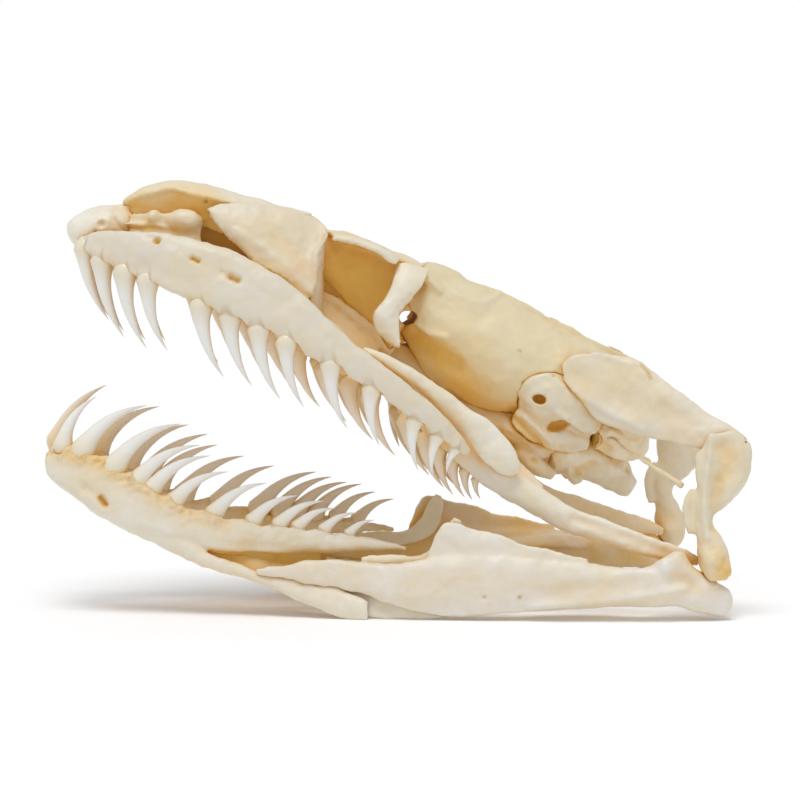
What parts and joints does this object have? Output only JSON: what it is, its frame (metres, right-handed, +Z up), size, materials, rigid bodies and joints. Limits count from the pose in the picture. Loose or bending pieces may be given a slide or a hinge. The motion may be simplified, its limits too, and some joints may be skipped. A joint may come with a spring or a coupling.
{
  "type": "snake skull",
  "caption": "Life-size still model of a large python skull lying with its toothed jaws open, each bone a separate closed solid.",
  "frame": {"origin": "centre of the bounding box, at the floor the lower jaw lies on", "axes": "+X from the snout towards the back of the head, +Z up, the animal's left side at -Y"},
  "size_m": [0.1452, 0.0618, 0.0892],
  "materials": {
    "bone": "dry satin ivory bone",
    "toothed_bone": "satin ivory bone with smoother, paler teeth",
    "inner_bone": "matt ochre-stained inner bone"
  },
  "bodies": {
    "root": {"nasal_left": "bone", "nasal_right": "bone", "septomaxilla_left": "bone", "septomaxilla_right": "bone", "vomer_left": "inner_bone", "vomer_right": "inner_bone", "prefrontal_left": "bone", "prefrontal_right": "bone", "frontal_left": "bone", "frontal_right": "bone", "supraorbital_left": "bone", "supraorbital_right": "bone", "postorbital_left": "bone", "postorbital_right": "bone", "prootic_left": "bone", "prootic_right": "bone", "supratemporal_left": "bone", "supratemporal_right": "bone", "exoccipital_left": "bone", "exoccipital_right": "bone", "quadrate_left": "bone", "quadrate_right": "bone", "stapes_left": "bone", "stapes_right": "bone", "maxilla_left": "toothed_bone", "maxilla_right": "toothed_bone", "ectopterygoid_left": "bone", "ectopterygoid_right": "bone", "palatine_left": "toothed_bone", "palatine_right": "toothed_bone", "pterygoid_left": "toothed_bone", "pterygoid_right": "toothed_bone", "dentary_left": "toothed_bone", "dentary_right": "toothed_bone", "splenial_left": "inner_bone", "splenial_right": "inner_bone", "angular_left": "bone", "angular_right": "bone", "coronoid_left": "inner_bone", "coronoid_right": "inner_bone", "compound_left": "bone", "compound_right": "bone", "premaxilla": "bone", "parietal": "bone", "supraoccipital": "bone", "basioccipital": "bone", "parasphenoid": "inner_bone"}
  },
  "joints": []
}
